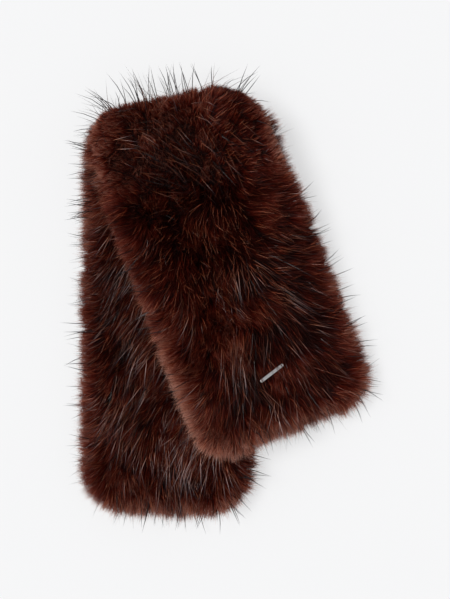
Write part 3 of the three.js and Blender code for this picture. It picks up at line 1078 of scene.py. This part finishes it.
def guard_fields(fields, points, combing, side, tone, share, seed):
    """Where guard hairs stand, and how long: in bunches, and more where the fur lies flat."""
    stands = upright(along, across, combing)
    near_fold = by_fold(along, across) * (side > 0)
    bunched = mix(0.5 + 1.4 * smooth(ripple(along, across, 13, seed), 0, 0.7), 0.9, near_fold)
    way = stand_and_way(points, combing, side, GUARD_LIE)[1]
    upwards = np.maximum(way[..., 2], 0.2)
    longest = mix(GUARD_LENGTH, GUARD_RIM_LENGTH, 1 - smooth(inside, 6, 30))
    past = past_fold(along, across)
    few = 1 - 0.8 * smooth(past, 50, 80) * (1 - smooth(past, 90, 150))
    off_bar = smooth(near_bar, 12, 36)
    streaks = spots(GLINT_STREAKS, along, across)
    thick = share * fields["cover"] * (bunched + 1.6 * streaks) * few * off_bar
    return {
        **fields,
        "way": way,
        "reach": np.minimum(longest, mix(GUARD_RISE, FOLD_GUARD_RISE, near_fold) / upwards) * MM,
        "cover": thick * (1.25 - 0.9 * stands) * smooth(inside, -2, 10),
        "tone": tone + 0.2 * ripple(along, across, 18, seed + 1) + streaks,
        "loose": 1 + 2.2 * smooth(stands, 0.6, 0.95),
    }


near_fold = by_fold(along, across)
outer_tone = GUARD_TONE - FOLD_DARKER * near_fold
outer_share = 0.42 - 0.3 * smooth(across, 10, 60) + 0.1 * near_fold * (1 - smooth(across, 20, 90))
outer_guards = guard_fields(
    outer_fields, outer_front, guard_combing, 1, outer_tone, outer_share, seed=14
)
inner_guards = guard_fields(
    inner_fields, inner_front, inner_combing, -1, INNER_GUARD_TONE, 1, seed=16
)
outer_hair += hair_pieces("outer_guard_hairs", outer_front, outer_guards, guard_values, 1, seed=60)
inner_hair += hair_pieces("inner_guard_hairs", inner_front, inner_guards, guard_values, 1, seed=70)


# The stray guard hairs
# The same hairs where nothing holds them down: straight and near black, they stand out of the
# opened fold one by one or in twos and threes, and past the rims in small bunches.
STRAYS = 15000  # to a square metre
STRAY_LENGTH, STRAY_RIM_LENGTH = 50, 36
STRAY_RADIUS = 0.55
STRAY_BAND = 9  # half of how wide the line is from which they stand on the fold
STRAY_TONE = 0.3
STRAY_COLOURS = (
    (0.0, "#0e0403", "#1c0a07", "#38160c"),
    (0.5, "#0a0606", "#20181a", "#4c4246"),
    (1.0, "#040304", "#0c0b0e", "#1c1c22"),
)
stray_finish = hair_material(
    "modacrylic_guard_hair_dark", STRAY_COLOURS, roughness=0.3, specular=0.2
)
stray_values = {
    **guard_values,
    "Strands": STRAYS,
    "Shortest": 0.8,
    "Longest": 1.0,
    "Radius": STRAY_RADIUS * MM,
    "Scatter": 0.18,
    "Lock": 8 * MM,
    "Lock gather": 0.5,
    "Stiffness": 0.4,
    "Taper": 0.32,
    "Finish": stray_finish,
}


def stray_fields(fields, side, seed):
    """Where stray hairs stand: on the fold's outermost line, and here and there along the rims."""
    ahead, aside, _ = directions(along, across)
    out_along, out_across = towards_rim(along, across)
    normal = fields["stand"]
    at_rim = 1 - smooth(inside, 6, 14)
    outwards = out_along[..., None] * ahead + out_across[..., None] * aside
    fan = 0.3 * across / straight_half_width(along) - 0.12
    way = mix(normal + fan[..., None] * aside, outwards + 0.45 * normal, at_rim[..., None])
    bunched = smooth(ripple(along, across, 11, seed), 0.25, 0.6)
    grouped = 0.3 + 0.6 * smooth(ripple(along, across, 9, seed + 1), 0.1, 0.5)
    on_line = np.exp(-((past_fold(along, across) / STRAY_BAND) ** 2))
    fold_line = grouped * on_line * (1 - at_rim) * (side > 0)
    shows = np.minimum(fields["cover"], 1)
    return {
        **fields,
        "way": unit(way),
        "reach": mix(STRAY_LENGTH, STRAY_RIM_LENGTH, at_rim) * MM,
        "cover": fold_line + 1.2 * at_rim * bunched * shows,
        "tone": STRAY_TONE + 0 * along,
    }


outer_strays = stray_fields(outer_fields, 1, seed=24)
inner_strays = stray_fields(inner_fields, -1, seed=26)
outer_hair += hair_pieces("outer_stray_hairs", outer_front, outer_strays, stray_values, 1, seed=80)
inner_hair += hair_pieces("inner_stray_hairs", inner_front, inner_strays, stray_values, 1, seed=85)

# Each panel's fabric is one sheet, with all of its hair on it
for fabric, node, slot, hair, resting in (
    (outer_fabric, "outer_panel", "outer_fur", outer_hair, []),
    (inner_fabric, "inner_panel", "inner_fur", inner_hair, ["outer_fabric"]),
):
    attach(fabric, "root")
    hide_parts(node)
    for piece in hair:
        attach(piece, "root")


# The metal bar
# A slim stadium of nickel-plated steel, polished, sewn flat on the fur through a hole at each end.
# It is bright, and its soft gloss mirrors the pale light above it.
STEEL_COLOUR, STEEL_ROUGHNESS = "#ece9e4", 0.3
steel, tree = new_material("nickel_plated_steel_polished")
gloss = {"Metallic": 1.0, "Roughness": STEEL_ROUGHNESS}
surface(tree, {"Base Color": linear(STEEL_COLOUR), **gloss})
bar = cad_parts["metal_bar"]
bar.data.materials.clear()
bar.data.materials.append(steel)


# The bar's stitches
# Two turns of red-brown polyester thread at each end of the bar, through its hole and over each of
# its long edges.
BAR_LENGTH, BAR_WIDTH, BAR_HOLE_INSET = 31, 3.4, 2.2
THREAD = 0.3  # its radius
THREAD_SNUG, THREAD_LOOSE = 0.7, 0.9  # radii from its middle to the bar's edge, and to its face
TWIST = 0.6  # from one ply of the thread to the next
STITCH_TURNS, STITCH_SIDES = 20, 6
WAVE_BANDS = 20  # of Blender's wave texture, to a unit of its scale
THREAD_DARK, THREAD_PALE = "#2a0d08", "#6b3022"


def stitch_rings(name):
    """A closed turn of thread round each long edge of the bar, at each of its two holes."""
    solid = np.array([vertex.co[:] for vertex in bar.data.vertices]) / MM
    axes = np.linalg.svd(solid - solid.mean(0), full_matrices=False)[2]
    up = axes[2] * np.sign(axes[2][2])
    across, over = BAR_WIDTH / 4 + THREAD * THREAD_SNUG, BAR_THICKNESS / 2 + THREAD * THREAD_LOOSE
    turn = np.linspace(0, 2 * math.pi, STITCH_TURNS, endpoint=False)[:, None]
    side = np.linspace(0, 2 * math.pi, STITCH_SIDES, endpoint=False)[None, :]
    points, faces = [], []
    for end in (-1, 1):
        for edge in (-1, 1):
            hole = bar_centre() + axes[0] * end * (BAR_LENGTH / 2 - BAR_HOLE_INSET)
            middle = hole + axes[1] * edge * BAR_WIDTH / 4
            wide = (across + THREAD * np.cos(side)) * np.cos(turn)
            tall = (over + THREAD * np.cos(side)) * np.sin(turn)
            lean = THREAD * np.sin(side) + 0 * turn
            ring = middle + wide[..., None] * axes[1] + tall[..., None] * up
            ring = ring + lean[..., None] * axes[0]
            index = np.arange(ring.size // 3).reshape(ring.shape[:2]) + len(points) * ring.size // 3
            a, b = index, np.roll(index, -1, 0)
            faces.append(np.stack([a, b, np.roll(b, -1, 1), np.roll(a, -1, 1)], -1).reshape(-1, 4))
            points.append(ring.reshape(-1, 3))
    mesh = bpy.data.meshes.new(name)
    mesh.from_pydata((np.concatenate(points) * MM).tolist(), [], np.concatenate(faces).tolist())
    mesh.shade_smooth()
    shaped = bmesh.new()
    shaped.from_mesh(mesh)
    bmesh.ops.recalc_face_normals(shaped, faces=shaped.faces)
    shaped.to_mesh(mesh)
    shaped.free()
    return mesh


# Spun polyester thread: dull, with the soft diagonal shade of its two plies painted into its colour
thread, tree = new_material("polyester_thread_spun")
spot = add(tree, "ShaderNodeTexCoord").outputs["Object"]
plies = add(
    tree,
    "ShaderNodeTexWave",
    {"Vector": spot, "Scale": 1 / (TWIST * MM) / WAVE_BANDS},
    bands_direction="DIAGONAL",
)
shade = add(
    tree,
    "ShaderNodeMix",
    {0: plies.outputs["Fac"], 6: linear(THREAD_DARK), 7: linear(THREAD_PALE)},
    data_type="RGBA",
)
relief = {"Height": plies.outputs["Fac"], "Distance": 0.1 * MM, "Strength": 0.6}
normal = add(tree, "ShaderNodeBump", relief).outputs["Normal"]
surface(tree, {"Base Color": shade.outputs[2], "Roughness": 0.8, "Normal": normal})
stitches = put(stitch_rings("bar_stitches"), "bar_stitches", thread)
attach(stitches, "root")
